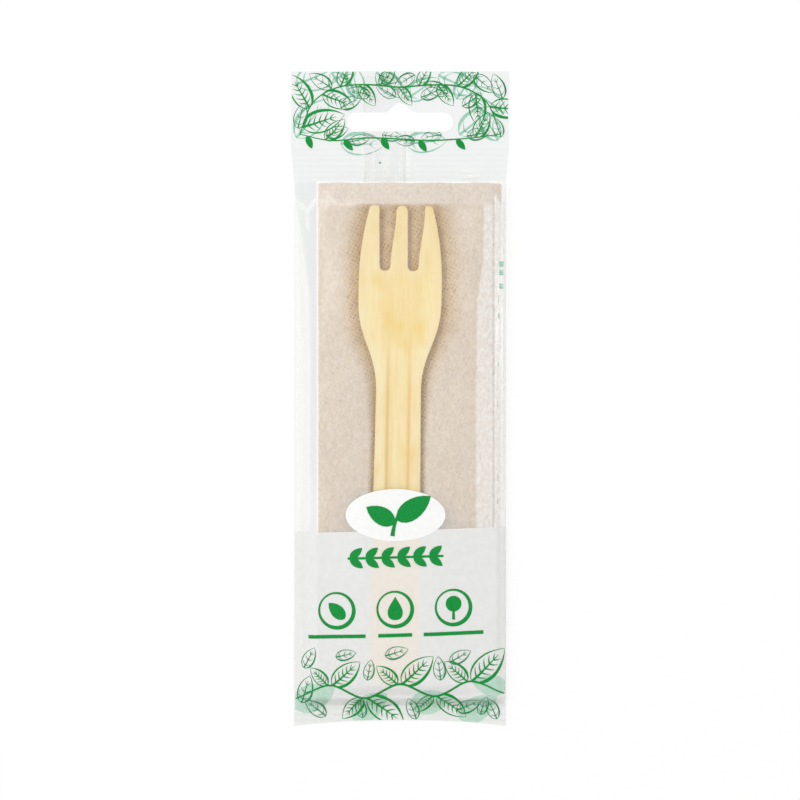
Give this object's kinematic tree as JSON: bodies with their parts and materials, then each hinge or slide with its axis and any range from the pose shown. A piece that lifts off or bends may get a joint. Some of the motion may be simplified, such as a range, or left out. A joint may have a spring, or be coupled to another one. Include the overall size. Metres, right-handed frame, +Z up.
{
  "type": "wooden cutlery pack",
  "caption": "Clear flow-wrapped cutlery pack with a hang slot, holding a folded paper napkin and a pressed wooden fork, with a leaf print on the film.",
  "frame": {"origin": "under the middle of the pack, on the surface it lies on", "axes": "+X across the pack, +Y to the hang slot, +Z up out of the printed front"},
  "size_m": [0.0736, 0.2206, 0.0098],
  "materials": {
    "clear_film": "thin clear glossy film",
    "napkin_paper": "soft embossed unbleached tissue",
    "fork_wood": "smooth uncoated pale veneer",
    "panel_ink": "translucent white ink on film",
    "white_ink": "opaque white ink on film",
    "green_ink": "green ink on film"
  },
  "bodies": {
    "root": {"film_sachet": "clear_film", "paper_napkin": "napkin_paper", "wooden_fork": "fork_wood", "white_panel_print": "panel_ink", "emblem_backing_print": "white_ink", "sprout_emblem_print": "green_ink", "garland_print": "green_ink", "ring_print_left": "green_ink", "caption_bar_left": "green_ink", "ring_print_middle": "green_ink", "caption_bar_middle": "green_ink", "ring_print_right": "green_ink", "caption_bar_right": "green_ink", "leaf_glyph_print": "green_ink", "drop_glyph_print": "green_ink", "tree_glyph_print": "green_ink", "bottom_leaf_print": "green_ink", "top_leaf_print": "green_ink"}
  },
  "joints": []
}
